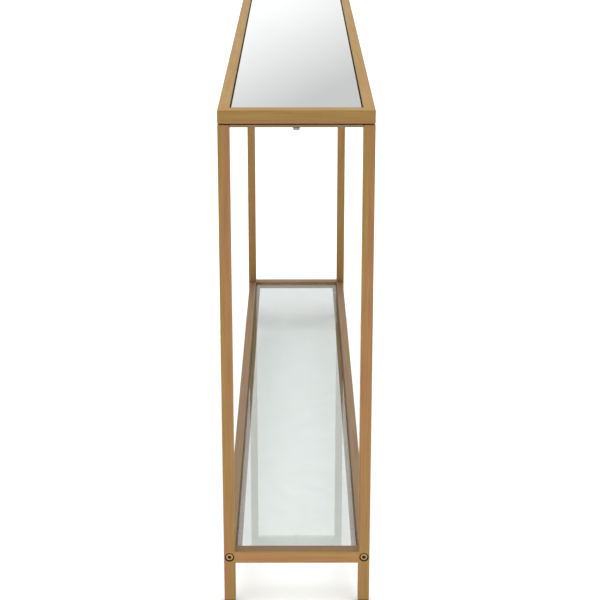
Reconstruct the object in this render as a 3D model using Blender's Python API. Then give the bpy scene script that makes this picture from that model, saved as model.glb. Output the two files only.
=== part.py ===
"""Narrow console table: a mirror set in a welded tube frame, two end frames of two legs each, and a glass shelf.

Units are metres and +Z is up. +X runs along the table to its right end, +Y to its back, and the origin is on the
floor under the middle of the table. Each end frame has two legs, a lower rail and a top strap. The top frame is
bolted down to the straps, the long shelf rails are bolted between the legs, and the legs stand on screw feet.
"""

import math

import bmesh
import bpy
from mathutils import Vector

# Overall sizes
TABLE_LENGTH = 1.400
TABLE_DEPTH = 0.235
TABLE_HEIGHT = 0.820
SHELF_HEIGHT = 0.0953  # top of the shelf rails above the floor

# Steel tube and strip
LEG_DEPTH = 0.022  # along the table, also the end rails
LEG_WIDTH = 0.018  # across the table
TOP_SIDE_RAIL_WIDTH = 0.018
SHELF_RAIL_WIDTH = 0.016
SHELF_RAIL_INSET = 0.002  # from the legs' outer faces to the long shelf rails'
RAIL_HEIGHT = 0.0205
TUBE_WALL = 0.0012
TUBE_CORNER = 0.0016
LEDGE_WIDTH = 0.010
LEDGE_THICKNESS = 0.003
STRAP_THICKNESS = 0.004
STRAP_INSET = 0.001  # from the leg's two faces to the strap's edges

# Sheet pieces
MIRROR_THICKNESS = 0.004
MIRROR_RECESS = 0.0006  # mirror face below the top of its frame
BACKING_THICKNESS = 0.003
GLASS_THICKNESS = 0.005
GLASS_RECESS = 0.004  # glass face below the top of the shelf rails
SHEET_GAP = 0.002  # between a sheet's edge and the rails
SHEET_CORNER = 0.0015
BUMPER_RADIUS = 0.004
BUMPER_THICKNESS = 0.001
BUMPER_SPACING = 0.060  # from the glass's end to its bumpers

# Shelf bolts, which pass through the legs into the shelf rails
BOLT_RADIUS = 0.003
BOLT_HEAD_RADIUS = 0.0057
BOLT_HEAD_HEIGHT = 0.006
BOLT_HEAD_RECESS = 0.0008
BOLT_GRIP = 0.012  # length of shank inside the insert
HEX_KEY = 0.005  # across flats
HEX_DEPTH = 0.003
SLEEVE_CLEARANCE = 0.0009  # between a sleeve and the tube wall beside it
HEAD_HOLE_CLEARANCE = 0.0005  # radial, for the sleeve to pass through the hole over the bolt's head
INSERT_LENGTH = 0.016

# Top bolts, which pass up through the straps into rivet nuts
NUT_RADIUS = 0.0045
NUT_LENGTH = 0.012
NUT_FLANGE_RADIUS = 0.0065
NUT_FLANGE = 0.0008
WASHER_RADIUS = 0.0068
WASHER_THICKNESS = 0.0010
TOP_BOLT_HEAD_RADIUS = 0.0056
TOP_BOLT_HEAD_HEIGHT = 0.0042
TOP_BOLT_DOME = ((0.62, 0.0), (0.86, 0.25), (1.0, 0.62), (1.0, 1.0))  # shares of head radius and head height
TOP_HEX_KEY = 0.004
TOP_HEX_DEPTH = 0.0021

# Screw feet
PAD_INSET = 0.0005  # from the leg's narrower faces to the pad
PAD_HEIGHT = 0.005
PAD_FLOOR = 0.0022  # nylon left under the stud
STUD_RADIUS = 0.004
STUD_LENGTH = 0.024
SOCKET_FLANGE = 0.002
SOCKET_LENGTH = 0.020

# Fits and facets
FIT = 0.0003  # clearance between pieces that touch
SCREW_CLEARANCE = 0.0004  # radial, round a screw in its hole
EDGE = 0.0004  # small chamfer on strip, sheet and hardware
CORNER_STEPS = 4
ROUND_STEPS = 24
SHARP_ANGLE = 35  # degrees

# Levels and places that follow from the sizes
HALF_LENGTH = TABLE_LENGTH / 2
HALF_DEPTH = TABLE_DEPTH / 2
LEG_X = HALF_LENGTH - LEG_DEPTH / 2
LEG_Y = HALF_DEPTH - LEG_WIDTH / 2
LEG_BOTTOM = PAD_HEIGHT + SOCKET_FLANGE + 2 * FIT
TOP_RAIL_BOTTOM = TABLE_HEIGHT - RAIL_HEIGHT
LEG_TOP = TOP_RAIL_BOTTOM - NUT_FLANGE - 2 * FIT
BOLT_Z = SHELF_HEIGHT - RAIL_HEIGHT / 2
SLEEVE_RADIUS = LEG_WIDTH / 2 - TUBE_WALL - SLEEVE_CLEARANCE
HEAD_HOLE_RADIUS = SLEEVE_RADIUS + HEAD_HOLE_CLEARANCE
PAD_RADIUS = min(LEG_WIDTH, LEG_DEPTH) / 2 - PAD_INSET
SHELF_RAIL_Y = HALF_DEPTH - SHELF_RAIL_INSET - SHELF_RAIL_WIDTH / 2
SHELF_INNER_Y = SHELF_RAIL_Y - SHELF_RAIL_WIDTH / 2
INNER_X = HALF_LENGTH - LEG_DEPTH
TOP_INNER_Y = HALF_DEPTH - TOP_SIDE_RAIL_WIDTH
GLASS_TOP = SHELF_HEIGHT - GLASS_RECESS
GLASS_BOTTOM = GLASS_TOP - GLASS_THICKNESS
SHELF_LEDGE_TOP = GLASS_BOTTOM - BUMPER_THICKNESS - 2 * FIT
MIRROR_TOP = TABLE_HEIGHT - MIRROR_RECESS
MIRROR_BOTTOM = MIRROR_TOP - MIRROR_THICKNESS
BACKING_TOP = MIRROR_BOTTOM - FIT
TOP_LEDGE_TOP = BACKING_TOP - BACKING_THICKNESS - FIT

ENDS = (("left", -1), ("right", 1))
SIDES = (("front", -1), ("back", 1))
TURN_UP = (0, -math.pi / 2, 0)  # local +X to world +Z

# colour, roughness, metallic
FINISHES = {
    "gold_paint": ((0.39, 0.24, 0.11, 1), 0.42, 0.55),
    "mirror": ((0.86, 0.88, 0.88, 1), 0.04, 1.0),
    "hardboard": ((0.16, 0.10, 0.06, 1), 0.85, 0.0),
    "clear_glass": ((0.80, 0.90, 0.87, 0.35), 0.03, 0.0),
    "gold_plate": ((0.52, 0.36, 0.19, 1), 0.30, 0.9),
    "zinc_plate": ((0.62, 0.62, 0.60, 1), 0.32, 0.9),
    "bare_steel": ((0.40, 0.40, 0.41, 1), 0.45, 0.9),
    "clear_rubber": ((0.72, 0.74, 0.73, 1), 0.35, 0.0),
    "black_nylon": ((0.02, 0.02, 0.022, 1), 0.55, 0.0),
}


def clear_scene():
    for obj in list(bpy.data.objects):
        bpy.data.objects.remove(obj, do_unlink=True)


def finish(name):
    """The material of that name, made when it is first asked for."""
    found = bpy.data.materials.get(name)
    if found:
        return found
    colour, roughness, metallic = FINISHES[name]
    made = bpy.data.materials.new(name)
    made.use_nodes = True
    shader = made.node_tree.nodes["Principled BSDF"]
    shader.inputs["Base Color"].default_value = colour
    shader.inputs["Roughness"].default_value = roughness
    shader.inputs["Metallic"].default_value = metallic
    shader.inputs["Alpha"].default_value = colour[3]
    made.diffuse_color = colour
    return made


def rounded(width, height, radius):
    """Points round a rectangle with round corners, centred on the origin."""
    points = []
    for corner in range(4):
        side_x = 1 if corner in (0, 3) else -1
        side_y = 1 if corner in (0, 1) else -1
        for step in range(CORNER_STEPS + 1):
            angle = math.radians(90) * (corner + step / CORNER_STEPS)
            x = side_x * (width / 2 - radius) + radius * math.cos(angle)
            y = side_y * (height / 2 - radius) + radius * math.sin(angle)
            points.append((x, y))
    return points


def circle(radius, steps=ROUND_STEPS, x_shift=0.0):
    angles = [math.tau * step / steps for step in range(steps)]
    return [(radius * math.cos(angle) + x_shift, radius * math.sin(angle)) for angle in angles]


def hexagon(across_flats, steps=ROUND_STEPS):
    """Points round a hexagon at even angles; steps is a multiple of six, so that every corner is one of them."""
    points = []
    for step in range(steps):
        angle = math.tau * step / steps
        from_flat = angle % (math.tau / 6) - math.tau / 12
        radius = across_flats / 2 / math.cos(from_flat)
        points.append((radius * math.cos(angle), radius * math.sin(angle)))
    return points


def level(outline, z):
    return [Vector((x, y, z)) for x, y in outline]


def loft(name, loops, ring=False):
    """A closed mesh through loops of equal length: a ring joins the last to the first, else both ends are capped."""
    bm = bmesh.new()
    rows = [[bm.verts.new(point) for point in loop] for loop in loops]
    count = len(rows[0])
    pairs = list(zip(rows, rows[1:]))
    if ring:
        pairs.append((rows[-1], rows[0]))
    else:
        bm.faces.new(rows[0])
        bm.faces.new(rows[-1])
    for first, second in pairs:
        for i in range(count):
            j = (i + 1) % count
            bm.faces.new((first[i], first[j], second[j], second[i]))
    bmesh.ops.recalc_face_normals(bm, faces=bm.faces)
    mesh = bpy.data.meshes.new(name)
    bm.to_mesh(mesh)
    bm.free()
    mesh.shade_smooth()
    mesh.set_sharp_from_angle(angle=math.radians(SHARP_ANGLE))
    return mesh


def tube_mesh(name, length, width, height, mitre=0.0):
    """Square tube along X, open at both ends. mitre is how far each end falls back per metre from the +Y face."""

    def end_loop(outline, sign):
        return [Vector((sign * (length / 2 - mitre * (width / 2 - y)), y, z)) for y, z in outline]

    outside = rounded(width, height, TUBE_CORNER)
    bore_corner = max(TUBE_CORNER - TUBE_WALL, TUBE_CORNER / 4)
    inside = rounded(width - 2 * TUBE_WALL, height - 2 * TUBE_WALL, bore_corner)
    loops = [end_loop(outside, -1), end_loop(outside, 1), end_loop(inside, 1), end_loop(inside, -1)]
    return loft(name, loops, ring=True)


def sheet_mesh(name, length, width, thickness, corner, edge=EDGE):
    """Flat sheet with its top at z = 0, round corners in plan and its edges chamfered."""
    face = rounded(length - 2 * edge, width - 2 * edge, max(corner - edge, edge / 2))
    side = rounded(length, width, corner)
    loops = [level(face, -thickness), level(side, edge - thickness), level(side, -edge), level(face, 0)]
    return loft(name, loops)


def ring_mesh(name, inner, outer, thickness):
    """Plain flat ring with its underside at z = 0."""
    loops = [level(circle(inner), 0), level(circle(outer), 0)]
    loops += [level(circle(outer), thickness), level(circle(inner), thickness)]
    return loft(name, loops, ring=True)


def place(name, mesh, finish_name, location, rotation=(0, 0, 0), parent=None):
    obj = bpy.data.objects.new(name, mesh)
    if not mesh.materials:
        mesh.materials.append(finish(finish_name))
    bpy.context.scene.collection.objects.link(obj)
    obj.location = location
    obj.rotation_euler = rotation
    obj.parent = parent
    return obj


def group(name, location=(0, 0, 0), parent=None):
    empty = bpy.data.objects.new(name, None)
    empty.empty_display_size = 0.03
    empty.location = location
    empty.parent = parent
    bpy.context.scene.collection.objects.link(empty)
    return empty


def cut(obj, cutter_mesh, location, rotation=(0, 0, 0)):
    """Cuts a hole with a hidden helper placed in world coordinates."""
    cutter = bpy.data.objects.new(obj.name + "_cutter", cutter_mesh)
    bpy.context.scene.collection.objects.link(cutter)
    cutter.location = location
    cutter.rotation_euler = rotation
    cutter.hide_render = True
    cutter.display_type = "WIRE"
    boolean = obj.modifiers.new("hole", "BOOLEAN")
    boolean.operation = "DIFFERENCE"
    boolean.solver = "EXACT"
    boolean.object = cutter


def outward(end_sign):
    """Rotation that turns local +Z to point out of the table's end."""
    return (0, end_sign * math.pi / 2, 0)


def make_top_frame(parent):
    """Four mitred tubes round the mirror, and the strips welded inside them that carry it."""
    seam = FIT / 2
    slope = LEG_DEPTH / TOP_SIDE_RAIL_WIDTH
    long_mesh = tube_mesh("top_long_rail", TABLE_LENGTH - 2 * seam, TOP_SIDE_RAIL_WIDTH, RAIL_HEIGHT, slope)
    end_mesh = tube_mesh("top_end_rail", TABLE_DEPTH - 2 * seam, LEG_DEPTH, RAIL_HEIGHT, 1 / slope)
    hole = circle(NUT_RADIUS + SCREW_CLEARANCE)
    nut_hole = loft("nut_hole", [level(hole, -TUBE_WALL), level(hole, 2 * TUBE_WALL)])
    rail_z = TABLE_HEIGHT - RAIL_HEIGHT / 2
    for side, sign in SIDES:
        y = sign * (HALF_DEPTH - TOP_SIDE_RAIL_WIDTH / 2)
        turn = (0, 0, 0 if sign > 0 else math.pi)
        place(f"top_{side}_rail", long_mesh, "gold_paint", (0, y, rail_z), turn, parent)
    for end, sign in ENDS:
        turn = (0, 0, -sign * math.pi / 2)
        rail = place(f"top_{end}_rail", end_mesh.copy(), "gold_paint", (sign * LEG_X, 0, rail_z), turn, parent)
        cut(rail, nut_hole, (sign * LEG_X, 0, TOP_RAIL_BOTTOM))
    make_ledges("top", TOP_INNER_Y, TOP_LEDGE_TOP, parent)


def make_ledges(prefix, inner_y, top, parent):
    """Flat strips inside a frame: two full-length ones and two short ones between them."""
    long_length = 2 * (INNER_X - FIT)
    short_length = 2 * (inner_y - LEDGE_WIDTH - 2 * FIT)
    long_mesh = sheet_mesh(f"{prefix}_long_ledge", long_length, LEDGE_WIDTH, LEDGE_THICKNESS, EDGE)
    short_mesh = sheet_mesh(f"{prefix}_short_ledge", LEDGE_WIDTH, short_length, LEDGE_THICKNESS, EDGE)
    for side, sign in SIDES:
        y = sign * (inner_y - FIT - LEDGE_WIDTH / 2)
        place(f"{prefix}_{side}_ledge", long_mesh, "gold_paint", (0, y, top), parent=parent)
    for end, sign in ENDS:
        x = sign * (INNER_X - FIT - LEDGE_WIDTH / 2)
        place(f"{prefix}_{end}_ledge", short_mesh, "gold_paint", (x, 0, top), parent=parent)


def make_mirror(parent):
    length = 2 * (INNER_X - SHEET_GAP)
    width = 2 * (TOP_INNER_Y - SHEET_GAP)
    mirror = sheet_mesh("mirror_top", length, width, MIRROR_THICKNESS, SHEET_CORNER)
    backing = sheet_mesh("mirror_backing", length, width, BACKING_THICKNESS, SHEET_CORNER)
    place("mirror_top", mirror, "mirror", (0, 0, MIRROR_TOP), parent=parent)
    place("mirror_backing", backing, "hardboard", (0, 0, BACKING_TOP), parent=parent)


def make_legs(parent):
    """Four legs, each with a stepped hole through both walls for its shelf bolt."""
    leg_mesh = tube_mesh("leg", LEG_TOP - LEG_BOTTOM, LEG_WIDTH, LEG_DEPTH)
    step = LEG_DEPTH / 2
    shank_hole = circle(BOLT_RADIUS + SCREW_CLEARANCE)
    head_hole = circle(HEAD_HOLE_RADIUS)
    hole = loft(
        "bolt_hole",
        [level(shank_hole, -LEG_DEPTH), level(shank_hole, 0), level(head_hole, 0), level(head_hole, step + EDGE)],
    )
    for end, end_sign in ENDS:
        for side, side_sign in SIDES:
            x = end_sign * LEG_X
            y = side_sign * LEG_Y
            middle = (x, y, (LEG_TOP + LEG_BOTTOM) / 2)
            leg = place(f"{side}_{end}_leg", leg_mesh.copy(), "gold_paint", middle, TURN_UP, parent)
            cut(leg, hole, (x, y, BOLT_Z), outward(end_sign))


def make_end_cross_members(parent):
    """A lower rail and a top strap between the two legs of each end."""
    span = 2 * (HALF_DEPTH - LEG_WIDTH - FIT)
    rail_mesh = tube_mesh("lower_rail", span, LEG_DEPTH, RAIL_HEIGHT)
    strap_mesh = sheet_mesh("top_strap", LEG_DEPTH - 2 * STRAP_INSET, span, STRAP_THICKNESS, EDGE)
    hole = circle(BOLT_RADIUS + SCREW_CLEARANCE)
    bolt_hole = loft("strap_hole", [level(hole, -2 * STRAP_THICKNESS), level(hole, STRAP_THICKNESS)])
    for end, sign in ENDS:
        x = sign * LEG_X
        place(f"lower_{end}_rail", rail_mesh, "gold_paint", (x, 0, BOLT_Z), (0, 0, math.pi / 2), parent)
        strap = place(f"{end}_top_strap", strap_mesh.copy(), "gold_paint", (x, 0, LEG_TOP), parent=parent)
        cut(strap, bolt_hole, (x, 0, LEG_TOP))


def make_shelf(parent):
    """Two long rails, their ledges, and the glass on its bumpers."""
    rail_mesh = tube_mesh("shelf_rail", 2 * (INNER_X - FIT), SHELF_RAIL_WIDTH, RAIL_HEIGHT)
    for side, sign in SIDES:
        place(f"shelf_{side}_rail", rail_mesh, "gold_paint", (0, sign * SHELF_RAIL_Y, BOLT_Z), parent=parent)
    make_ledges("shelf", SHELF_INNER_Y, SHELF_LEDGE_TOP, parent)
    length = 2 * (INNER_X - SHEET_GAP)
    width = 2 * (SHELF_INNER_Y - SHEET_GAP)
    glass = sheet_mesh("glass_shelf", length, width, GLASS_THICKNESS, SHEET_CORNER)
    place("glass_shelf", glass, "clear_glass", (0, 0, GLASS_TOP), parent=parent)
    bumper = loft(
        "bumper",
        [
            level(circle(BUMPER_RADIUS), 0),
            level(circle(BUMPER_RADIUS), BUMPER_THICKNESS / 2),
            level(circle(BUMPER_RADIUS - EDGE), BUMPER_THICKNESS),
        ],
    )
    for end, end_sign in ENDS:
        for side, side_sign in SIDES:
            x = end_sign * (length / 2 - BUMPER_SPACING)
            y = side_sign * (SHELF_INNER_Y - FIT - LEDGE_WIDTH / 2)
            place(f"{side}_{end}_bumper", bumper, "clear_rubber", (x, y, SHELF_LEDGE_TOP + FIT), parent=parent)


def make_shelf_bolts(parent):
    """At each leg: a bolt, the sleeve it clamps against inside the leg, and the threaded insert in the shelf rail."""
    head_top = LEG_DEPTH / 2 - BOLT_HEAD_RECESS
    head_bottom = head_top - BOLT_HEAD_HEIGHT
    shank_end = -LEG_DEPTH / 2 - FIT - BOLT_GRIP
    bolt = loft(
        "shelf_bolt",
        [
            level(circle(BOLT_RADIUS - EDGE), shank_end),
            level(circle(BOLT_RADIUS), shank_end + EDGE),
            level(circle(BOLT_RADIUS), head_bottom),
            level(circle(BOLT_HEAD_RADIUS), head_bottom),
            level(circle(BOLT_HEAD_RADIUS), head_top - EDGE),
            level(circle(BOLT_HEAD_RADIUS - EDGE), head_top),
            level(hexagon(HEX_KEY), head_top),
            level(hexagon(HEX_KEY), head_top - HEX_DEPTH),
        ],
    )
    sleeve_bottom = TUBE_WALL + FIT - LEG_DEPTH / 2
    sleeve = ring_mesh("sleeve", BOLT_RADIUS + SCREW_CLEARANCE, SLEEVE_RADIUS, head_bottom - FIT - sleeve_bottom)
    for end, end_sign in ENDS:
        for side, side_sign in SIDES:
            corner = f"{side}_{end}"
            centre = Vector((end_sign * LEG_X, side_sign * LEG_Y, BOLT_Z))
            turn = outward(end_sign)
            place(f"{corner}_shelf_bolt", bolt, "gold_plate", centre, turn, parent)
            sleeve_foot = centre + Vector((end_sign * sleeve_bottom, 0, 0))
            place(f"{corner}_bolt_sleeve", sleeve, "bare_steel", sleeve_foot, turn, parent)
            insert = insert_mesh(side_sign * (LEG_Y - SHELF_RAIL_Y))
            x = end_sign * (INNER_X - 2 * FIT - INSERT_LENGTH / 2)
            place(f"{corner}_rail_insert", insert, "bare_steel", (x, side_sign * SHELF_RAIL_Y, BOLT_Z), parent=parent)


def insert_mesh(bore_y):
    """Block that fills the end of a shelf rail, with the bolt's bore along X at bore_y from its middle."""
    slack = 2 * (TUBE_WALL + FIT)
    block = rounded(SHELF_RAIL_WIDTH - slack, RAIL_HEIGHT - slack, EDGE)
    bore = circle(BOLT_RADIUS + SCREW_CLEARANCE, steps=len(block), x_shift=bore_y)
    loops = []
    for outline, sign in ((block, -1), (block, 1), (bore, 1), (bore, -1)):
        loops.append([Vector((sign * INSERT_LENGTH / 2, y, z)) for y, z in outline])
    return loft("rail_insert", loops, ring=True)


def make_top_bolts(parent):
    """At the middle of each strap: a domed bolt from below, its washer, and the rivet nut in the top end rail."""
    strap_bottom = LEG_TOP - STRAP_THICKNESS
    washer_bottom = -FIT - WASHER_THICKNESS
    head_top = washer_bottom - FIT
    head_bottom = head_top - TOP_BOLT_HEAD_HEIGHT
    shank_end = STRAP_THICKNESS + NUT_LENGTH
    loops = [level(hexagon(TOP_HEX_KEY), head_bottom + TOP_HEX_DEPTH), level(hexagon(TOP_HEX_KEY), head_bottom)]
    for radius_share, height_share in TOP_BOLT_DOME:
        height = head_bottom + height_share * TOP_BOLT_HEAD_HEIGHT
        loops.append(level(circle(radius_share * TOP_BOLT_HEAD_RADIUS), height))
    loops.append(level(circle(BOLT_RADIUS), head_top))
    loops.append(level(circle(BOLT_RADIUS), shank_end - EDGE))
    loops.append(level(circle(BOLT_RADIUS - EDGE), shank_end))
    bolt = loft("top_bolt", loops)
    bore = BOLT_RADIUS + SCREW_CLEARANCE
    washer = ring_mesh("top_washer", bore, WASHER_RADIUS, WASHER_THICKNESS)
    nut_bottom = STRAP_THICKNESS + FIT
    nut = loft(
        "rivet_nut",
        [
            level(circle(bore), nut_bottom),
            level(circle(NUT_FLANGE_RADIUS), nut_bottom),
            level(circle(NUT_FLANGE_RADIUS), nut_bottom + NUT_FLANGE),
            level(circle(NUT_RADIUS), nut_bottom + NUT_FLANGE),
            level(circle(NUT_RADIUS), nut_bottom + NUT_LENGTH),
            level(circle(bore), nut_bottom + NUT_LENGTH),
        ],
        ring=True,
    )
    for end, sign in ENDS:
        base = Vector((sign * LEG_X, 0, strap_bottom))
        place(f"{end}_top_bolt", bolt, "zinc_plate", base, parent=parent)
        place(f"{end}_top_washer", washer, "zinc_plate", base + Vector((0, 0, washer_bottom)), parent=parent)
        place(f"{end}_rivet_nut", nut, "zinc_plate", base, parent=parent)


def make_sockets(parent):
    """Plastic plug in the foot of each leg, with the threaded bore that its screw foot turns in."""
    flange = rounded(LEG_DEPTH, LEG_WIDTH, TUBE_CORNER)
    slack = 2 * (TUBE_WALL + FIT)
    plug = rounded(LEG_DEPTH - slack, LEG_WIDTH - slack, EDGE)
    bore = circle(STUD_RADIUS + SCREW_CLEARANCE, steps=len(flange))
    top = SOCKET_FLANGE + SOCKET_LENGTH
    loops = [
        level(bore, 0),
        level(flange, 0),
        level(flange, SOCKET_FLANGE),
        level(plug, SOCKET_FLANGE),
        level(plug, top),
        level(bore, top),
    ]
    socket = loft("leg_socket", loops, ring=True)
    for end, end_sign in ENDS:
        for side, side_sign in SIDES:
            location = (end_sign * LEG_X, side_sign * LEG_Y, PAD_HEIGHT + FIT)
            place(f"{side}_{end}_leg_socket", socket, "black_nylon", location, parent=parent)


def make_feet(parent):
    """Screw feet: each nylon pad and its stud hang from an empty on the foot's own travel axis."""
    pad = loft(
        "foot_pad",
        [
            level(circle(PAD_RADIUS - 2 * EDGE), 0),
            level(circle(PAD_RADIUS), 2 * EDGE),
            level(circle(PAD_RADIUS), PAD_HEIGHT - EDGE),
            level(circle(PAD_RADIUS - EDGE), PAD_HEIGHT),
            level(circle(STUD_RADIUS + FIT), PAD_HEIGHT),
            level(circle(STUD_RADIUS + FIT), PAD_FLOOR),
        ],
    )
    stud_bottom = PAD_FLOOR + FIT
    stud = loft(
        "foot_stud",
        [
            level(circle(STUD_RADIUS - EDGE), stud_bottom),
            level(circle(STUD_RADIUS), stud_bottom + EDGE),
            level(circle(STUD_RADIUS), stud_bottom + STUD_LENGTH - 2 * EDGE),
            level(circle(STUD_RADIUS - 2 * EDGE), stud_bottom + STUD_LENGTH),
        ],
    )
    for end, end_sign in ENDS:
        for side, side_sign in SIDES:
            corner = f"{side}_{end}"
            axis = group(f"{corner}_foot_axis", (end_sign * LEG_X, side_sign * LEG_Y, 0), parent)
            place(f"{corner}_foot_pad", pad, "black_nylon", (0, 0, 0), parent=axis)
            place(f"{corner}_foot_stud", stud, "zinc_plate", (0, 0, 0), parent=axis)


def main():
    clear_scene()
    table = group("table")
    make_top_frame(table)
    make_mirror(table)
    make_legs(table)
    make_end_cross_members(table)
    make_shelf(table)
    make_shelf_bolts(table)
    make_top_bolts(table)
    make_sockets(table)
    make_feet(table)


main()
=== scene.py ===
"""The looks of the mirror-topped console table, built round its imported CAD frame."""

import math

import bmesh
import bpy
from mathutils import Matrix, Vector


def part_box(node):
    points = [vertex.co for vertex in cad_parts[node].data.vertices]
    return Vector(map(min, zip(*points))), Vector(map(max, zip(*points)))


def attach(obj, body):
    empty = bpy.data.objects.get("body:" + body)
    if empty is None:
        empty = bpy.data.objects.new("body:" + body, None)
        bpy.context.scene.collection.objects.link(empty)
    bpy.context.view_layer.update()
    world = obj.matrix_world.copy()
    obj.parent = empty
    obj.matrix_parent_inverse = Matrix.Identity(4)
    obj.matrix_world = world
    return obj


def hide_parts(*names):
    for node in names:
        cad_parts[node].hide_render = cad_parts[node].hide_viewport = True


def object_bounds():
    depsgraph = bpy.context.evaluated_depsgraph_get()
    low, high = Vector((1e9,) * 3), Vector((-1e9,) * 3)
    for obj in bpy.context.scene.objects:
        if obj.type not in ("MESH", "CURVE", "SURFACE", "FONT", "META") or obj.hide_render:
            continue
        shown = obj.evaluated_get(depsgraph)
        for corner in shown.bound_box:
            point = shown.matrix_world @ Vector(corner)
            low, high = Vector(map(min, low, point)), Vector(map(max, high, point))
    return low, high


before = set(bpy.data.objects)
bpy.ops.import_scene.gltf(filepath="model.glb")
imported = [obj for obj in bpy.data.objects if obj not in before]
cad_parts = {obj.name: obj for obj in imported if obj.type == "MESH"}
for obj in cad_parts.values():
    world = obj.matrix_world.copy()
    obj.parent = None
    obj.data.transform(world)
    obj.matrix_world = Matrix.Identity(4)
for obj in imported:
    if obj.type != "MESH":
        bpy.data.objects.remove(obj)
CAD_BOX = [list(corner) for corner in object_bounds()]

BODY = "table"
ENDS = (("left", -1), ("right", 1))
SIDES = ("front", "back")
CORNERS = [(f"{side}_{end}", end_sign) for end, end_sign in ENDS for side in SIDES]

# Shapes that are finer than the CAD solids, in metres
TUBE_CORNER = 0.0016
SHARP_ANGLE = 35
STRIP_CORNER = 0.0005
STRIP_STEPS = 3
BEVEL_STEPS = 5
CORNER_STEPS = 6
ROUND_STEPS = 48
MOUTH_CHAMFER = 0.0003
GLASS_ARRIS = 0.0005
SHEET_CORNER = 0.0025
SKIN = 0.00005
BREAK = 0.0002  # a sharp edge just taken off
HOLE_SLACK = 0.0005  # radial, from a sleeve to the hole in front of it
HOLE_REACH = 0.0085  # how far in from a leg's face the bolt hole's wall takes painted shade
HOLE_WALL_REACH = 0.0076  # and how far that wall is from the bolt's middle, at most
SHANK = 0.003
SHANK_POINT = 0.0008  # the chamfer at a shelf bolt's tip
SOCKET_KEY = 0.0025  # from a shelf bolt's middle to the flats of its socket
SOCKET_HEAD = 0.006
SOCKET_DEPTH = 0.0036
SOCKET_MOUTH = 0.0005
# How far down a shelf bolt's socket is painted dark, as painted shade
SOCKET_SHADE_DEPTH = 0.005
# In from a shelf bolt's head's edge, and down from its face
HEAD_ROUNDING = ((0.0, 0.0008), (0.0002, 0.0004), (0.0006, 0.0001), (0.0011, 0.0))
HEAD_FILLET = 0.0004
# The width and depth of a shelf bolt head's rim that takes a painted highlight; the width is also how deep
# the socket's point goes
HEAD_RIM = 0.0012
RIM_HIGHLIGHT_DEPTH = 0.0010
BUTTON_KEY = 0.0020  # the same for a top bolt
BUTTON_SOCKET_DEPTH = 0.0020
BUTTON_MOUTH = 0.0003
BUTTON_POINT = 0.0009
WASHER_GAP = 0.0003
WASHER_CLEARANCE = 0.0004
BUTTON_FACE = 0.80  # the head's flat face, as a share of its width
# Shares of the way out from a top bolt's face to its head's edge, and up to its seat
BUTTON_PROFILE = (
    (0.0, 0.0),
    (0.12, 0.02),
    (0.30, 0.10),
    (0.50, 0.26),
    (0.70, 0.46),
    (0.88, 0.66),
    (1.0, 0.80),
)
BUMPER_STEPS = 32
PLUG_WALL = 0.0015
PLUG_BORE = 0.0044
PLUG_CORNER = 0.0006
PLUG_RIBS = 4
RIB = 0.0007
PLUG_EDGE = 0.0005
PLUG_GAP = 0.0003
RIBS_START = 0.002  # above the flange
RIBS_END = 0.003  # the length left free of ribs
RIB_SHARE = 0.6  # of the spacing from rib to rib
GRIPS = 12
GRIP_DIP = 0.035
PAD_STEPS = 96
# Up from a foot pad's sole, and in from its rim
PAD_PROFILE = ((0.0002, 0.0006), (0.0007, 0.0001), (0.0012, 0.0), (0.0040, 0.0), (0.0046, 0.0003))
PAD_SOLE_INSET = 0.0012
PAD_TOP_INSET = 0.0009
STUD_GAP = 0.0003
THREAD_PITCH = 0.00125
THREAD_DEPTH = 0.0006
THREAD_ROWS = 6  # to each turn

# Camera, from the right-hand end and above
CAMERA_BEYOND_END = 2.2125
CAMERA_ABOVE_TOP = 0.4696
CAMERA_Y = -0.0007
CAMERA_TILT = 16.83
CAMERA_TURN = -0.155
CAMERA_LENS = 91.7
CAMERA_SHIFT_Y = -0.1
SENSOR_WIDTH = 36

# How high in the surroundings, from 0 at the horizon to 1 overhead, and how bright
SKY = (
    (0.0, 1.08),
    (0.125, 1.10),
    (0.166, 0.87),
    (0.205, 0.63),
    (0.26, 0.60),
    (0.300, 0.72),
    (0.337, 0.72),
    (0.341, 0.60),
    (0.38, 0.88),
    (0.43, 1.20),
    (0.60, 1.36),
)


# ---------------------------------------------------------------- materials


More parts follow.
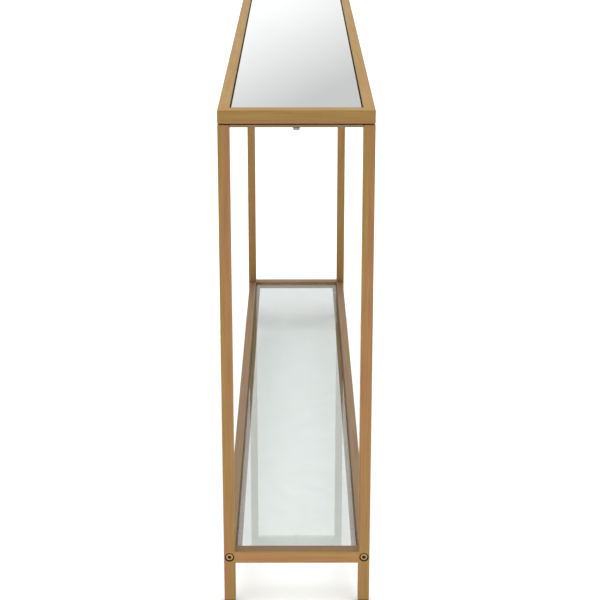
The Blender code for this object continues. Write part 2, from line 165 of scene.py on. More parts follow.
class Nodes:
    """A material's node tree, with short calls to add nodes and join their sockets."""

    def __init__(self, name):
        self.material = bpy.data.materials.new(name)
        self.material.use_nodes = True
        self.tree = self.material.node_tree
        self.shader = self.tree.nodes["Principled BSDF"]
        self.output = self.tree.nodes["Material Output"]

    def feed(self, socket, value):
        if isinstance(value, bpy.types.NodeSocket):
            self.tree.links.new(value, socket)
        else:
            socket.default_value = value

    def add(self, kind, inputs=None, **settings):
        made = self.tree.nodes.new(kind)
        for key, value in settings.items():
            setattr(made, key, value)
        for key, value in (inputs or {}).items():
            self.feed(made.inputs[key], value)
        return made

    def set(self, **inputs):
        for key, value in inputs.items():
            self.feed(self.shader.inputs[key.replace("_", " ")], value)

    def place(self, stretch=(1, 1, 1)):
        """Object coordinates, squeezed along an axis whose stretch is small, so a pattern runs along it."""
        place = self.add("ShaderNodeTexCoord").outputs["Object"]
        return self.add("ShaderNodeMapping", {"Vector": place, "Scale": stretch}).outputs["Vector"]

    def noise(self, vector, scale, detail=3.0, roughness=0.5):
        inputs = {"Vector": vector, "Scale": scale, "Detail": detail, "Roughness": roughness}
        return self.add("ShaderNodeTexNoise", inputs).outputs["Fac"]

    def spread(self, value, low, high, to_low=0.0, to_high=1.0):
        """Maps low..high to to_low..to_high, clamped."""
        inputs = {"Value": value, "From Min": low, "From Max": high, "To Min": to_low, "To Max": to_high}
        return self.add("ShaderNodeMapRange", inputs).outputs["Result"]

    def mix(self, factor, first, second):
        mix = self.add("ShaderNodeMix", data_type="RGBA")
        colours = [socket for socket in mix.inputs if socket.type == "RGBA"]
        for socket, value in zip([mix.inputs["Factor"]] + colours, (factor, first, second)):
            self.feed(socket, value)
        return next(socket for socket in mix.outputs if socket.type == "RGBA")

    def bump(self, height, distance, strength, normal=None):
        inputs = {"Height": height, "Distance": distance, "Strength": strength}
        if normal is not None:
            inputs["Normal"] = normal
        return self.add("ShaderNodeBump", inputs).outputs["Normal"]


def shade(colour, factor):
    return tuple(min(1.0, factor * part) for part in colour[:3]) + (1,)


GOLD_LIGHT = (0.381, 0.223, 0.083, 1)
GOLD_DARK = (0.235, 0.124, 0.044, 1)
GOLD_ROSY = (0.320, 0.152, 0.074, 1)
GOLD_OLIVE = (0.286, 0.190, 0.053, 1)
# Painted light: a lighter gold for the top frame's upper faces, lit from overhead
TOP_LIT_LIGHT = (0.540, 0.325, 0.085, 1)
TOP_LIT_DARK = (0.400, 0.225, 0.045, 1)
GOLD_GLINT = (0.86, 0.70, 0.50, 1)
# Painted shade: a greyer, darker gold for parts under the top, which keeps the overhead light off them while
# they reflect the pale surroundings
UNDER_TOP_LIGHT = (0.304, 0.256, 0.226, 1)
UNDER_TOP_DARK = (0.200, 0.163, 0.144, 1)


def gold_paint(name, grain, light=GOLD_LIGHT, dark=GOLD_DARK, roughness=0.38):
    """Antique gold lacquer: rubbed streaks, with rosy or olive bands along the piece, over a fine peel."""
    nodes = Nodes(name)
    along = {"x": (0.02, 1, 1), "y": (1, 0.02, 1), "z": (1, 1, 0.02)}[grain]
    streaks = nodes.noise(nodes.place(along), 420, detail=4, roughness=0.6)
    bands = nodes.noise(nodes.place(along), 125, detail=2)
    patches = nodes.noise(nodes.place(), 9, detail=3)
    peel = nodes.noise(nodes.place(), 1500, detail=2)
    tint = nodes.mix(nodes.spread(bands, 0.42, 0.58), GOLD_ROSY, GOLD_OLIVE)
    rubbed = nodes.mix(nodes.spread(streaks, 0.34, 0.70), dark, light)
    toned = nodes.mix(0.56, rubbed, tint)
    worn = nodes.mix(nodes.spread(patches, 0.45, 0.75, 0.0, 0.25), toned, light)
    nodes.set(Base_Color=worn, Metallic=0.6, Specular_Tint=GOLD_GLINT)
    nodes.set(Roughness=nodes.spread(streaks, 0.3, 0.7, roughness + 0.08, roughness - 0.05))
    fine = nodes.bump(peel, 0.00006, 0.35)
    nodes.set(Normal=nodes.bump(streaks, 0.00006, 0.35, fine))
    return nodes.material


def plated(name, colour, roughness, worn=0.12):
    """Plated or turned metal with faint handling marks."""
    nodes = Nodes(name)
    marks = nodes.noise(nodes.place(), 260, detail=5, roughness=0.65)
    worn_colour = nodes.mix(nodes.spread(marks, 0.30, 0.62), shade(colour, 0.62), colour)
    nodes.set(Base_Color=worn_colour, Metallic=0.95)
    nodes.set(Roughness=nodes.spread(marks, 0.3, 0.7, roughness + worn, roughness))
    nodes.set(Normal=nodes.bump(nodes.noise(nodes.place(), 1800), 0.00004, 0.3))
    return nodes.material


def mirror_face(name="mirror_face"):
    """Silvered glass: nearly perfect reflection with the faintest cloudiness left by cleaning."""
    nodes = Nodes(name)
    haze = nodes.noise(nodes.place((0.4, 1, 1)), 9, detail=5, roughness=0.6)
    colour = nodes.mix(nodes.spread(haze, 0.3, 0.7), (0.895, 0.910, 0.910, 1), (0.925, 0.935, 0.935, 1))
    nodes.set(Base_Color=colour, Metallic=1.0)
    nodes.set(Roughness=nodes.spread(haze, 0.35, 0.8, 0.008, 0.03))
    return nodes.material


def glass_edge(name="mirror_edge"):
    """The ground edge of a silvered sheet, dark sea green."""
    nodes = Nodes(name)
    frosting = nodes.noise(nodes.place(), 900, detail=3)
    colour = nodes.mix(nodes.spread(frosting, 0.3, 0.7), (0.05, 0.13, 0.11, 1), (0.16, 0.29, 0.25, 1))
    nodes.set(Base_Color=colour, Roughness=nodes.spread(frosting, 0.3, 0.7, 0.15, 0.35), IOR=1.5)
    return nodes.material


def mirror_back(name="mirror_back"):
    """The grey protective paint on the mirror's back."""
    nodes = Nodes(name)
    coat = nodes.noise(nodes.place(), 160, detail=4)
    nodes.set(Base_Color=nodes.mix(coat, (0.17, 0.18, 0.19, 1), (0.24, 0.25, 0.26, 1)))
    nodes.set(Roughness=nodes.spread(coat, 0.3, 0.7, 0.5, 0.65))
    return nodes.material


def clear_glass(name="clear_glass"):
    """Clear float glass, green through its length, with faint dust; its grey colour is painted shade,
    dimming the floor seen through it. Lamps reach what lies under it.
    """
    nodes = Nodes(name)
    dust = nodes.noise(nodes.place(), 30, detail=6, roughness=0.7)
    # Painted shade: a grey base colour dims whatever is seen through the glass
    colour = nodes.mix(nodes.spread(dust, 0.3, 0.7), (0.640, 0.666, 0.662, 1), (0.676, 0.700, 0.696, 1))
    nodes.set(Base_Color=colour, Transmission_Weight=1.0, IOR=1.50, Roughness=0.0)
    tint = nodes.add("ShaderNodeVolumeAbsorption", {"Color": (0.62, 0.93, 0.84, 1), "Density": 6.0})
    passing = nodes.add("ShaderNodeBsdfTransparent", {"Color": (0.96, 0.985, 0.975, 1)})
    path = nodes.add("ShaderNodeLightPath")
    lighting = nodes.add("ShaderNodeMath", operation="MAXIMUM")
    nodes.tree.links.new(path.outputs["Is Shadow Ray"], lighting.inputs[0])
    nodes.tree.links.new(path.outputs["Is Diffuse Ray"], lighting.inputs[1])
    either = nodes.add("ShaderNodeMixShader", {"Fac": lighting.outputs["Value"]})
    nodes.tree.links.new(nodes.shader.outputs["BSDF"], either.inputs[1])
    nodes.tree.links.new(passing.outputs["BSDF"], either.inputs[2])
    nodes.tree.links.new(either.outputs["Shader"], nodes.output.inputs["Surface"])
    nodes.tree.links.new(tint.outputs["Volume"], nodes.output.inputs["Volume"])
    return nodes.material


def hardboard(name="hardboard"):
    """Dark pressed fibre board: short tangled fibres with slow clouds of tone."""
    nodes = Nodes(name)
    fibres = nodes.noise(nodes.place((0.35, 1, 1)), 700, detail=6, roughness=0.75)
    clouds = nodes.noise(nodes.place(), 24, detail=4)
    colour = nodes.mix(nodes.spread(fibres, 0.3, 0.7), (0.10, 0.055, 0.030, 1), (0.26, 0.160, 0.090, 1))
    nodes.set(Base_Color=nodes.mix(nodes.spread(clouds, 0.3, 0.7, 0, 0.35), colour, (0.15, 0.10, 0.07, 1)))
    nodes.set(Roughness=nodes.spread(fibres, 0.3, 0.7, 0.70, 0.92))
    nodes.set(Normal=nodes.bump(fibres, 0.0002, 0.6))
    return nodes.material


def moulded(name, colour, roughness, clear=0.0):
    """Moulded plastic or rubber with a fine spark-eroded texture."""
    nodes = Nodes(name)
    grain = nodes.noise(nodes.place(), 2600, detail=2)
    nodes.set(Base_Color=nodes.mix(nodes.spread(grain, 0.35, 0.75), colour, shade(colour, 1.6)))
    nodes.set(Roughness=nodes.spread(grain, 0.3, 0.7, roughness, roughness + 0.1), Transmission_Weight=clear)
    nodes.set(Normal=nodes.bump(grain, 0.00005, 0.5))
    return nodes.material


def pale_floor(name="pale_floor"):
    """A matt white floor with the faintest clouds, and a weak glow that keeps its shadows soft."""
    nodes = Nodes(name)
    cloud = nodes.noise(nodes.place(), 1.3, detail=2)
    nodes.set(Base_Color=nodes.mix(cloud, (0.93, 0.93, 0.93, 1), (0.94, 0.94, 0.94, 1)), Roughness=0.9)
    nodes.set(Specular_IOR_Level=0.0, Emission_Color=(1, 1, 1, 1), Emission_Strength=0.07)
    return nodes.material


GOLD = {grain: gold_paint(f"gold_paint_{grain}", grain) for grain in "xyz"}
# Painted highlight: a lighter, glossier gold on the rounded edges
EDGE_HIGHLIGHT_GOLD = {
    grain: gold_paint(f"gold_edge_{grain}", grain, shade(GOLD_LIGHT, 1.22), shade(GOLD_DARK, 1.25), 0.30)
    for grain in "xyz"
}
# Painted shade under the top: the shelf tubes, the lower rails' top faces and, darker, the straps
SHADED_GOLD = {
    grain: gold_paint(f"dull_gold_{grain}", grain, shade(UNDER_TOP_LIGHT, tone), shade(UNDER_TOP_DARK, tone), 0.42)
    for grain, tone in (("x", 1.0), ("y", 0.76))
}
SHELF_LEDGE = {
    grain: gold_paint(f"ledge_gold_{grain}", grain, shade(UNDER_TOP_LIGHT, 1.8), shade(UNDER_TOP_DARK, 1.8), 0.42)
    for grain in "xy"
}
# Painted light: a lighter gold for the lower rails' fronts, lit from the floor
FLOOR_LIT_GOLD = gold_paint("floor_lit_gold_y", "y", shade(GOLD_LIGHT, 1.18), shade(GOLD_DARK, 1.40))
# Painted light: the top frame's upper faces, lighter as lit from overhead
TOP_LIT_GOLD = {
    grain: gold_paint(f"rubbed_gold_{grain}", grain, TOP_LIT_LIGHT, TOP_LIT_DARK, 0.36)
    for grain in "xy"
}
GOLD_PLATE = plated("gold_plate", (0.44, 0.265, 0.125, 1), 0.32)
# Painted shade: a dark metal for the insides of sockets and bolt holes
RECESS_SHADE = plated("recess_shade", (0.155, 0.088, 0.040, 1), 0.50)
# Painted highlight: a bright rim on the shelf bolts' heads
RIM_HIGHLIGHT = plated("rim_highlight", (0.62, 0.42, 0.24, 1), 0.30)
ZINC_PLATE = plated("zinc_plate", (0.34, 0.33, 0.315, 1), 0.22)
# Painted shade: a dark zinc for the top bolts' washers, standing in for the shade round each head
SHADED_ZINC = plated("shaded_zinc", (0.115, 0.105, 0.095, 1), 0.45)
BARE_STEEL = plated("bare_steel", (0.17, 0.115, 0.065, 1), 0.45)
BLACK_NYLON = moulded("black_nylon", (0.018, 0.018, 0.020, 1), 0.42)
CLEAR_RUBBER = moulded("clear_rubber", (0.40, 0.41, 0.40, 1), 0.25, clear=0.9)
MIRROR = [mirror_face(), glass_edge(), mirror_back()]
GLASS = clear_glass()
HARDBOARD = hardboard()


# ---------------------------------------------------------------- shapes


def add_piece(name, mesh, materials, nodes, body=BODY):
    """A finished piece of the object, on its body and in its slot, in place of the CAD nodes named."""
    for material in materials:
        mesh.materials.append(material)
    obj = bpy.data.objects.new(name, mesh)
    bpy.context.scene.collection.objects.link(obj)
    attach(obj, body)
    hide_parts(*nodes)
    return obj


def loft(name, loops, ring=False):
    """A closed mesh through loops of equal length: a ring joins last to first, else both ends are capped."""
    bm = bmesh.new()
    rows = [[bm.verts.new(point) for point in loop] for loop in loops]
    pairs = list(zip(rows, rows[1:]))
    if ring:
        pairs.append((rows[-1], rows[0]))
    else:
        bm.faces.new(rows[0])
        bm.faces.new(rows[-1])
    for first, second in pairs:
        for i in range(len(first)):
            j = (i + 1) % len(first)
            bm.faces.new((first[i], first[j], second[j], second[i]))
    bmesh.ops.recalc_face_normals(bm, faces=bm.faces)
    mesh = bpy.data.meshes.new(name)
    bm.to_mesh(mesh)
    bm.free()
    return mesh


def circle(radius, height, steps=ROUND_STEPS):
    """Points round the Z axis."""
    angles = [math.tau * step / steps for step in range(steps)]
    return [(radius * math.cos(angle), radius * math.sin(angle), height) for angle in angles]


def hexagon(radius, height, steps=ROUND_STEPS):
    """A hexagon of that radius to its flats, at even angles."""
    points = []
    for step in range(steps):
        angle = math.tau * step / steps
        reach = radius / math.cos(angle % (math.tau / 6) - math.tau / 12)
        points.append((reach * math.cos(angle), reach * math.sin(angle), height))
    return points


def rounded(half_x, half_y, corner, height):
    """A rectangle with round corners about the origin."""
    points = []
    for quarter, (side_x, side_y) in enumerate(((1, 1), (-1, 1), (-1, -1), (1, -1))):
        for step in range(CORNER_STEPS + 1):
            angle = math.radians(90) * (quarter + step / CORNER_STEPS)
            x = side_x * (half_x - corner) + corner * math.cos(angle)
            y = side_y * (half_y - corner) + corner * math.sin(angle)
            points.append((x, y, height))
    return points


def settled(name, mesh, modifiers):
    """The mesh with modifiers applied, each given as its type and its settings."""
    helper = bpy.data.objects.new(name + "_helper", mesh)
    bpy.context.scene.collection.objects.link(helper)
    for kind, settings in modifiers:
        modifier = helper.modifiers.new(kind.lower(), kind)
        for key, value in settings.items():
            setattr(modifier, key, value)
    graph = bpy.context.evaluated_depsgraph_get()
    made = bpy.data.meshes.new_from_object(helper.evaluated_get(graph), depsgraph=graph)
    made.name = name
    bpy.data.objects.remove(helper, do_unlink=True)
    return made


def softened(mesh, angle=SHARP_ANGLE):
    """Smooth shading over small faces, while the large flat ones stay flat."""
    mesh.shade_smooth()
    mesh.set_sharp_from_angle(angle=math.radians(angle))
    settings = {"mode": "FACE_AREA", "weight": 100, "keep_sharp": True}
    return settled(mesh.name, mesh, [("WEIGHTED_NORMAL", settings)])


def bevelled(mesh, width, steps=BEVEL_STEPS, edge_material=-1):
    """The mesh with its edges rounded; the rounded faces take the edge material."""
    settings = {
        "width": width,
        "segments": steps,
        "limit_method": "ANGLE",
        "angle_limit": math.radians(30),
        "material": edge_material,
    }
    return settled(mesh.name, mesh, [("BEVEL", settings)])


def shift(points, offset):
    """The points, moved."""
    return [Vector(point) + offset for point in points]


def outward(x, y, z, end_sign):
    """Where a turned piece goes whose +Z is to point out of that end of the table."""
    return Matrix.Translation((x, y, z)) @ Matrix.Rotation(end_sign * math.pi / 2, 4, "Y")


def block_from(low, high, name):
    """A plain box between two corners."""
    corners = ((low.x, low.y), (high.x, low.y), (high.x, high.y), (low.x, high.y))
    return loft(name, [[(x, y, z) for x, y in corners] for z in (low.z, high.z)])


# ---------------------------------------------------------------- the table's pieces


def make_top_frame():
    """The welded and ground top frame: one unbroken rectangle of tube with softly rounded edges."""
    right_low, right_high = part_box("top_right_rail")
    back_low, back_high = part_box("top_back_rail")
    outer = (right_high.x, back_high.y)
    inner = (right_low.x, back_low.y)
    bottom, top = right_low.z, right_high.z
    loops = []
    for (x, y), z in ((outer, bottom), (outer, top), (inner, top), (inner, bottom)):
        loops.append([(-x, -y, z), (x, -y, z), (x, y, z), (-x, y, z)])
    mesh = loft("top_frame", loops, ring=True)
    # The rounded edges take a lighter gold, a painted highlight
    mesh = bevelled(mesh, TUBE_CORNER, edge_material=1)
    materials = [GOLD["x"], EDGE_HIGHLIGHT_GOLD["x"], GOLD["y"], EDGE_HIGHLIGHT_GOLD["y"]]
    materials += [TOP_LIT_GOLD["x"], EDGE_HIGHLIGHT_GOLD["x"], TOP_LIT_GOLD["y"], EDGE_HIGHLIGHT_GOLD["y"]]
    to_end_rails, to_top_lit_faces = 2, 4
    for face in mesh.polygons:
        if abs(face.center.x) > inner[0] - TUBE_CORNER and abs(face.normal.y) < 0.5:
            face.material_index += to_end_rails
        # The upper faces take a lighter gold, painted light from overhead
        if face.normal.z > 0.999:
            face.material_index += to_top_lit_faces
    rails = [f"top_{place}_rail" for place in ("front", "back", "left", "right")]
    add_piece("top_frame", softened(mesh), materials, rails)


def make_end_frame(end, sign):
    """Two legs and the lower rail welded between them, with a bolt hole near the foot of each leg."""
    front_low, front_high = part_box(f"front_{end}_leg")
    back_low, back_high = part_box(f"back_{end}_leg")
    rail_low, rail_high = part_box(f"lower_{end}_rail")
    bottom, top = front_low.z, front_high.z
    outline = (
        (front_low.y, bottom),
        (front_high.y, bottom),
        (front_high.y, rail_low.z),
        (back_low.y, rail_low.z),
        (back_low.y, bottom),
        (back_high.y, bottom),
        (back_high.y, top),
        (back_low.y, top),
        (back_low.y, rail_high.z),
        (front_high.y, rail_high.z),
        (front_high.y, top),
        (front_low.y, top),
    )
    name = f"{end}_end_frame"
    mesh = loft(name, [[(x, y, z) for y, z in outline] for x in (front_low.x, front_high.x)])
    # The rounded edges take a lighter gold, a painted highlight
    mesh = bevelled(mesh, TUBE_CORNER, edge_material=1)
    mesh = split_at(mesh, (front_high.y, back_low.y))
    # The lower rail's front takes a lighter gold, painted light from the floor
    materials = [GOLD["z"], EDGE_HIGHLIGHT_GOLD["z"], FLOOR_LIT_GOLD, EDGE_HIGHLIGHT_GOLD["y"], SHADED_GOLD["y"], RECESS_SHADE]
    to_floor_lit_rail, shaded_rail_top, hole_wall_shade = 2, 4, 5
    for face in mesh.polygons:
        between_legs = front_high.y < face.center.y < back_low.y
        if between_legs and rail_low.z - SKIN < face.center.z < rail_high.z + SKIN:
            # The rail's top face takes painted shade from the top above it
            face.material_index = shaded_rail_top if face.normal.z > 0.9 else face.material_index + to_floor_lit_rail
    outer_x = front_high.x if sign > 0 else front_low.x
    for side in SIDES:
        mesh = cut_bolt_hole(mesh, f"{side}_{end}", outer_x, sign)
    hole_z = (rail_low.z + rail_high.z) / 2
    hole_y = (back_low.y + back_high.y) / 2
    # The bolt holes' walls are painted dark, as painted shade
    for face in mesh.polygons:
        is_wall = abs(face.normal.x) < 0.1 and abs(face.center.x - outer_x) < HOLE_REACH
        from_hole = Vector((abs(face.center.y) - hole_y, face.center.z - hole_z))
        if is_wall and from_hole.length < HOLE_WALL_REACH:
            face.material_index = hole_wall_shade
    nodes = [f"front_{end}_leg", f"back_{end}_leg", f"lower_{end}_rail"]
    add_piece(name, softened(mesh), materials, nodes)


def split_at(mesh, planes):
    """Cuts the mesh's faces where they cross each y, so that the parts can have their own grain."""
    bm = bmesh.new()
    bm.from_mesh(mesh)
    for y in planes:
        geometry = bm.verts[:] + bm.edges[:] + bm.faces[:]
        bmesh.ops.bisect_plane(bm, geom=geometry, plane_co=(0, y, 0), plane_no=(0, 1, 0))
    bm.to_mesh(mesh)
    bm.free()
    return mesh


def cut_bolt_hole(mesh, corner, outer_x, sign):
    """A drilled hole down to the sleeve, its mouth just broken by a chamfer."""
    low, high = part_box(f"{corner}_bolt_sleeve")
    radius = (high.z - low.z) / 2 + HOLE_SLACK
    depth = abs(outer_x - (high.x if sign > 0 else low.x)) - SKIN
    past = 0.002
    loops = [
        circle(radius, -depth),
        circle(radius, -MOUTH_CHAMFER),
        circle(radius + MOUTH_CHAMFER + past, past),
    ]
    drill = bpy.data.objects.new("drill", loft("drill", loops))
    bpy.context.scene.collection.objects.link(drill)
    drill.matrix_world = outward(outer_x, (low.y + high.y) / 2, (low.z + high.z) / 2, sign)
    settings = {"object": drill, "operation": "DIFFERENCE", "solver": "EXACT"}
    made = settled(mesh.name, mesh, [("BOOLEAN", settings)])
    bpy.data.objects.remove(drill, do_unlink=True)
    return made


def make_bar(node, name, paint, edge, corner=STRIP_CORNER, steps=STRIP_STEPS):
    """A bar with rounded edges, with the size and place of a CAD tube or strip."""
    low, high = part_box(node)
    # The rounded edges take the edge paint, on most bars a painted highlight
    mesh = softened(bevelled(block_from(low, high, name), corner, steps, edge_material=1))
    add_piece(name, mesh, [paint, edge], [node])


def make_bars():
    """The long shelf tubes, the ledges that carry both sheets, and the straps on the legs."""
    for side in SIDES:
        # The shelf tubes are painted in shade under the top
        tube = f"shelf_{side}_tube"
        make_bar(f"shelf_{side}_rail", tube, SHADED_GOLD["x"], EDGE_HIGHLIGHT_GOLD["x"], TUBE_CORNER, BEVEL_STEPS)
    for level, paint in (("top", GOLD), ("shelf", SHELF_LEDGE)):
        for place, grain in (("front", "x"), ("back", "x"), ("left", "y"), ("right", "y")):
            strip = f"{level}_{place}_strip"
            make_bar(f"{level}_{place}_ledge", strip, paint[grain], EDGE_HIGHLIGHT_GOLD[grain])
    for end, _ in ENDS:
        # The straps are painted in shade under the top frame
        make_bar(f"{end}_top_strap", f"{end}_strap_bar", SHADED_GOLD["y"], SHADED_GOLD["y"])


def sheet_mesh(node, name):
    """A flat sheet with its corners and its edges softened, sized from a CAD sheet."""
    low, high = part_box(node)
    loops = [
        rounded(high.x - GLASS_ARRIS, high.y - GLASS_ARRIS, SHEET_CORNER - GLASS_ARRIS, low.z),
        rounded(high.x, high.y, SHEET_CORNER, low.z + GLASS_ARRIS),
        rounded(high.x, high.y, SHEET_CORNER, high.z - GLASS_ARRIS),
        rounded(high.x - GLASS_ARRIS, high.y - GLASS_ARRIS, SHEET_CORNER - GLASS_ARRIS, high.z),
    ]
    return softened(loft(name, loops), 30)


def make_sheets():
    """The glass shelf, and the mirror on its backing board."""
    pane = sheet_mesh("glass_shelf", "glass_pane")
    add_piece("glass_pane", pane, [GLASS], ["glass_shelf"])
    mirror = sheet_mesh("mirror_top", "mirror_pane")
    silvered, edge, back = range(len(MIRROR))
    for face in mirror.polygons:
        if face.normal.z > 0.99:
            face.material_index = silvered
        elif face.normal.z < -0.99:
            face.material_index = back
        else:
            face.material_index = edge
    add_piece("mirror_pane", mirror, MIRROR, ["mirror_top"])
    board = sheet_mesh("mirror_backing", "backing_board")
    add_piece("backing_board", board, [HARDBOARD], ["mirror_backing"])


def make_shelf_bolts():
    """Socket-head bolts in the legs, each with a rounded head and a socket that ends in a drill point."""
    for corner, sign in CORNERS:
        low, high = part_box(f"{corner}_shelf_bolt")
        head = (high.z - low.z) / 2
        tip = low.x - high.x
        seat = -SOCKET_HEAD
        loops = [
            circle(SHANK - SHANK_POINT, tip),
            circle(SHANK, tip + SHANK_POINT),
            circle(SHANK, seat - HEAD_FILLET),
            circle(SHANK + HEAD_FILLET, seat),
            circle(head - BREAK, seat),
            circle(head, seat + BREAK),
        ]
        loops += [circle(head - inset, -down) for inset, down in HEAD_ROUNDING]
        loops += [
            hexagon(SOCKET_KEY + SOCKET_MOUTH, 0),
            hexagon(SOCKET_KEY, -HEAD_FILLET),
            hexagon(SOCKET_KEY, -SOCKET_DEPTH),
            circle(SOCKET_KEY * 0.8, -SOCKET_DEPTH - BREAK),
            circle(SOCKET_KEY * 0.1, -SOCKET_DEPTH - HEAD_RIM),
        ]
        name = f"{corner}_socket_bolt"
        mesh = softened(loft(name, loops))
        plate, dark, rim = range(3)
        for face in mesh.polygons:
            from_middle = face.center.xy.length
            # The socket is painted dark, as painted shade
            if from_middle < SOCKET_KEY + SOCKET_MOUTH and face.center.z > -SOCKET_SHADE_DEPTH:
                face.material_index = dark
            # The head's rim takes a painted highlight
            elif from_middle > head - HEAD_RIM and face.center.z > -RIM_HIGHLIGHT_DEPTH:
                face.material_index = rim
            else:
                face.material_index = plate
        materials = [GOLD_PLATE, RECESS_SHADE, RIM_HIGHLIGHT]
        bolt = add_piece(name, mesh, materials, [f"{corner}_shelf_bolt"])
        face_x = high.x if sign > 0 else low.x
        bolt.matrix_world = outward(face_x, (low.y + high.y) / 2, (low.z + high.z) / 2, sign)


def make_top_bolts():
    """A button-head bolt and its washer under the middle of each strap."""
    for end, _ in ENDS:
        low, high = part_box(f"{end}_top_bolt")
        washer_low, washer_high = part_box(f"{end}_top_washer")
        centre = Vector(((low.x + high.x) / 2, 0, 0))
        head = (high.x - low.x) / 2
        face_radius = head * BUTTON_FACE
        seat = washer_low.z - WASHER_GAP
        rise = seat - low.z
        socket_end = low.z + BUTTON_SOCKET_DEPTH
        loops = [
            circle(BUTTON_KEY / 8, socket_end + BUTTON_POINT),
            circle(BUTTON_KEY * 7 / 8, socket_end + BREAK),
            hexagon(BUTTON_KEY, socket_end),
            hexagon(BUTTON_KEY, low.z + BUTTON_MOUTH),
            hexagon(BUTTON_KEY + BUTTON_MOUTH, low.z),
        ]
        for along, up in BUTTON_PROFILE:
            loops.append(circle(face_radius + (head - face_radius) * along, low.z + rise * up))
        loops += [
            circle(head, seat - BREAK),
            circle(head - BREAK, seat),
            circle(SHANK, seat),
            circle(SHANK, high.z - THREAD_DEPTH),
            circle(SHANK - THREAD_DEPTH, high.z),
        ]
        name = f"{end}_button_bolt"
        mesh = softened(loft(name, [shift(loop, centre) for loop in loops]))
        add_piece(name, mesh, [ZINC_PLATE], [f"{end}_top_bolt"])
        rim = (washer_high.x - washer_low.x) / 2
        bore = SHANK + WASHER_CLEARANCE
        flat = [
            circle(bore, washer_low.z),
            circle(rim - BREAK, washer_low.z),
            circle(rim, washer_low.z + BREAK),
            circle(rim, washer_high.z - BREAK),
            circle(rim - BREAK, washer_high.z),
            circle(bore, washer_high.z),
        ]
        name = f"{end}_round_washer"
        mesh = softened(loft(name, [shift(loop, centre) for loop in flat], ring=True))
        # The washer is dark, painted shade round the bolt's head
        add_piece(name, mesh, [SHADED_ZINC], [f"{end}_top_washer"])


def make_bumpers():
    """Clear stick-on discs with a domed face."""
    dome_steps = 6
    for corner, _ in CORNERS:
        low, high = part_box(f"{corner}_bumper")
        radius = (high.x - low.x) / 2
        thickness = high.z - low.z
        centre = Vector(((low.x + high.x) / 2, (low.y + high.y) / 2, low.z))
        loops = [circle(radius - BREAK / 2, 0, BUMPER_STEPS)]
        for step in range(dome_steps):
            angle = math.radians(90) * step / dome_steps
            reach = radius * (0.55 + 0.45 * math.cos(angle))
            height = thickness * (0.2 + 0.8 * math.sin(angle))
            loops.append(circle(reach, height, BUMPER_STEPS))
        loops.append(circle(radius * 0.5, thickness, BUMPER_STEPS))
        name = f"{corner}_clear_bumper"
        mesh = softened(loft(name, [shift(loop, centre) for loop in loops]), 60)
        add_piece(name, mesh, [CLEAR_RUBBER], [f"{corner}_bumper"])


def make_sockets():
    """The moulded plug in each leg's foot: a flange that shows, and ribs that grip inside the tube."""
    steps = 4 * (CORNER_STEPS + 1)
    for corner, _ in CORNERS:
        low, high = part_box(f"{corner}_leg_socket")
        half_x = (high.x - low.x) / 2
        half_y = (high.y - low.y) / 2
        flange_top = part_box(f"{corner}_leg")[0].z - PLUG_GAP

        def plug(inset, height):
            return rounded(half_x - inset, half_y - inset, PLUG_CORNER, height)

        loops = [
            circle(PLUG_BORE, low.z, steps),
            rounded(half_x - PLUG_EDGE, half_y - PLUG_EDGE, TUBE_CORNER - 0.0003, low.z),
            rounded(half_x, half_y, TUBE_CORNER, low.z + PLUG_EDGE),
            rounded(half_x, half_y, TUBE_CORNER, flange_top),
            plug(PLUG_WALL, flange_top),
        ]
        spacing = (high.z - flange_top - RIBS_END) / PLUG_RIBS
        for rib in range(PLUG_RIBS):
            foot = flange_top + RIBS_START + rib * spacing
            loops.append(plug(PLUG_WALL + RIB, foot))
            loops.append(plug(PLUG_WALL, foot + BREAK))
            loops.append(plug(PLUG_WALL + RIB, foot + spacing * RIB_SHARE))
        loops.append(plug(PLUG_WALL + RIB, high.z))
        loops.append(circle(PLUG_BORE, high.z, steps))
        centre = Vector(((low.x + high.x) / 2, (low.y + high.y) / 2, 0))
        name = f"{corner}_foot_plug"
        mesh = softened(loft(name, [shift(loop, centre) for loop in loops], ring=True))
        add_piece(name, mesh, [BLACK_NYLON], [f"{corner}_leg_socket"])


def make_feet():
    """Each screw foot: a threaded stud standing in a moulded pad with finger grips round its rim."""
    for corner, _ in CORNERS:
        body = f"{corner}_foot"
        low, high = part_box(f"{corner}_foot_pad")
        radius = (high.x - low.x) / 2
        centre = Vector(((low.x + high.x) / 2, (low.y + high.y) / 2, 0))
        stud_low, stud_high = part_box(f"{corner}_foot_stud")
        stud_radius = (stud_high.x - stud_low.x) / 2
        loops = [circle(radius - PAD_SOLE_INSET, low.z, PAD_STEPS)]
        for height, inset in PAD_PROFILE:
            loop = []
            for x, y, z in circle(radius - inset, low.z + height, PAD_STEPS):
                dip = 1 - GRIP_DIP * max(0.0, math.cos(GRIPS * math.atan2(y, x))) ** 2
                loop.append((x * dip, y * dip, z))
            loops.append(loop)
        loops.append(circle(radius - PAD_TOP_INSET, high.z, PAD_STEPS))
        loops.append(circle(stud_radius + 2 * STUD_GAP, high.z, PAD_STEPS))
        loops.append(circle(stud_radius + STUD_GAP, high.z - STUD_GAP, PAD_STEPS))
        loops.append(circle(stud_radius + STUD_GAP, stud_low.z - STUD_GAP, PAD_STEPS))
        name = f"{corner}_grip_pad"
        mesh = softened(loft(name, [shift(loop, centre) for loop in loops]))
        add_piece(name, mesh, [BLACK_NYLON], [f"{corner}_foot_pad"], body)
        name = f"{corner}_threaded_stud"
        turns = thread(stud_radius, stud_low.z, stud_high.z)
        mesh = softened(loft(name, [shift(loop, centre) for loop in turns]), 60)
        add_piece(name, mesh, [ZINC_PLATE], [f"{corner}_foot_stud"], body)


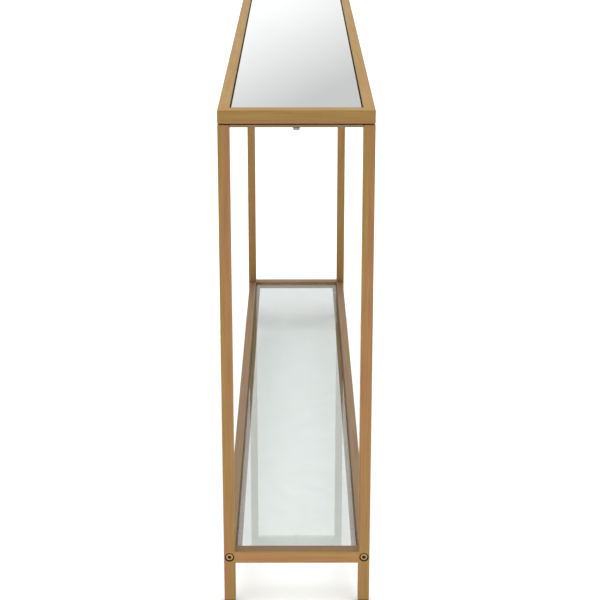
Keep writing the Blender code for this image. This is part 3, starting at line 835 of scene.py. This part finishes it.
def thread(radius, bottom, top, steps=24):
    """Loops of a screw thread about Z, run out at both ends."""
    rows = round((top - bottom) / THREAD_PITCH * THREAD_ROWS)
    loops = []
    for row in range(rows + 1):
        height = (top - bottom) * row / rows
        from_end = min(height, top - bottom - height)
        fade = min(1.0, from_end / THREAD_PITCH)
        loop = []
        for step in range(steps):
            angle = math.tau * step / steps
            phase = (height / THREAD_PITCH - step / steps) % 1.0
            cut = THREAD_DEPTH * abs(2 * phase - 1) * fade + (1 - fade) * THREAD_DEPTH
            reach = radius - cut
            loop.append((reach * math.cos(angle), reach * math.sin(angle), bottom + height))
        loops.append(loop)
    return loops


def finish_inner_nodes():
    """The CAD solids that stay: sleeves, inserts and rivet nuts, in worked metal, not plain colour."""
    for name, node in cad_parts.items():
        if name.endswith(("bolt_sleeve", "rail_insert")):
            paint = BARE_STEEL
        elif name.endswith("rivet_nut"):
            paint = ZINC_PLATE
        else:
            continue
        for material_slot in node.material_slots:
            material_slot.material = paint


# ---------------------------------------------------------------- stage


def make_stage():
    """One wide floor at the feet's height."""
    bm = bmesh.new()
    bmesh.ops.create_grid(bm, x_segments=1, y_segments=1, size=60)
    mesh = bpy.data.meshes.new("floor")
    bm.to_mesh(mesh)
    bm.free()
    mesh.materials.append(pale_floor())
    floor = bpy.data.objects.new("floor", mesh)
    bpy.context.scene.collection.objects.link(floor)


def remapped(tree, value, from_low, from_high, to_low, to_high):
    """A world value, mapped from one range to another and clamped."""
    node = tree.nodes.new("ShaderNodeMapRange")
    tree.links.new(value, node.inputs["Value"])
    ends = {"From Min": from_low, "From Max": from_high, "To Min": to_low, "To Max": to_high}
    for key, end in ends.items():
        node.inputs[key].default_value = end
    return node.outputs["Result"]


def make_studio():
    """Soft white surroundings, bright low down and overhead, with grey bands between that sheets reflect."""
    world = bpy.data.worlds.new("studio")
    bpy.context.scene.world = world
    world.use_nodes = True
    tree = world.node_tree
    background = tree.nodes["Background"]
    direction = tree.nodes.new("ShaderNodeTexCoord")
    split = tree.nodes.new("ShaderNodeSeparateXYZ")
    height = tree.nodes.new("ShaderNodeMath")
    ramp = tree.nodes.new("ShaderNodeValToRGB")
    tree.links.new(direction.outputs["Generated"], split.inputs["Vector"])
    lean = remapped(tree, split.outputs["Y"], -0.1, 0.1, -0.05, 0.05)
    tree.links.new(split.outputs["Z"], height.inputs[0])
    tree.links.new(lean, height.inputs[1])
    tree.links.new(height.outputs["Value"], ramp.inputs["Fac"])
    strength = remapped(tree, split.outputs["X"], -0.1, 0.6, 1.0, 0.75)
    tree.links.new(strength, background.inputs["Strength"])
    tree.links.new(ramp.outputs["Color"], background.inputs["Color"])
    elements = ramp.color_ramp.elements
    while len(elements) < len(SKY):
        elements.new(0.5)
    for element, (place, level) in zip(elements, SKY):
        element.position = place
        element.color = (level, level, level, 1)
    make_softbox("overhead_bank", (-4.25, 0, 4.0), (13.5, 6.0), watts=110, spread=180)
    make_softbox("front_bank", (1.55, 0, 2.6), (1.5, 2.6), watts=6, spread=120)


def make_softbox(name, location, size, watts, spread):
    """A soft rectangular lamp that faces straight down and is seen neither directly nor in reflections."""
    light = bpy.data.lights.new(name, "AREA")
    light.shape = "RECTANGLE"
    light.size, light.size_y = size
    light.energy = watts
    light.spread = math.radians(spread)
    lamp = bpy.data.objects.new(name, light)
    lamp.location = location
    lamp.visible_camera = False
    lamp.visible_glossy = False
    bpy.context.scene.collection.objects.link(lamp)


def make_camera():
    """A long lens beyond the right-hand end, looking down along the table."""
    high = Vector(CAD_BOX[1])
    camera = bpy.data.objects.new("camera", bpy.data.cameras.new("camera"))
    bpy.context.scene.collection.objects.link(camera)
    camera.data.lens = CAMERA_LENS
    camera.data.sensor_width = SENSOR_WIDTH
    camera.data.shift_y = CAMERA_SHIFT_Y
    camera.location = (high.x + CAMERA_BEYOND_END, CAMERA_Y, high.z + CAMERA_ABOVE_TOP)
    camera.rotation_euler = (math.radians(90 - CAMERA_TILT), 0, math.radians(90 + CAMERA_TURN))
    bpy.context.scene.camera = camera


make_camera()
make_stage()
make_studio()
make_top_frame()
for end_name, end_side in ENDS:
    make_end_frame(end_name, end_side)
make_bars()
make_sheets()
make_shelf_bolts()
make_top_bolts()
make_bumpers()
make_sockets()
make_feet()
finish_inner_nodes()
bpy.context.scene.view_settings.view_transform = "Standard"
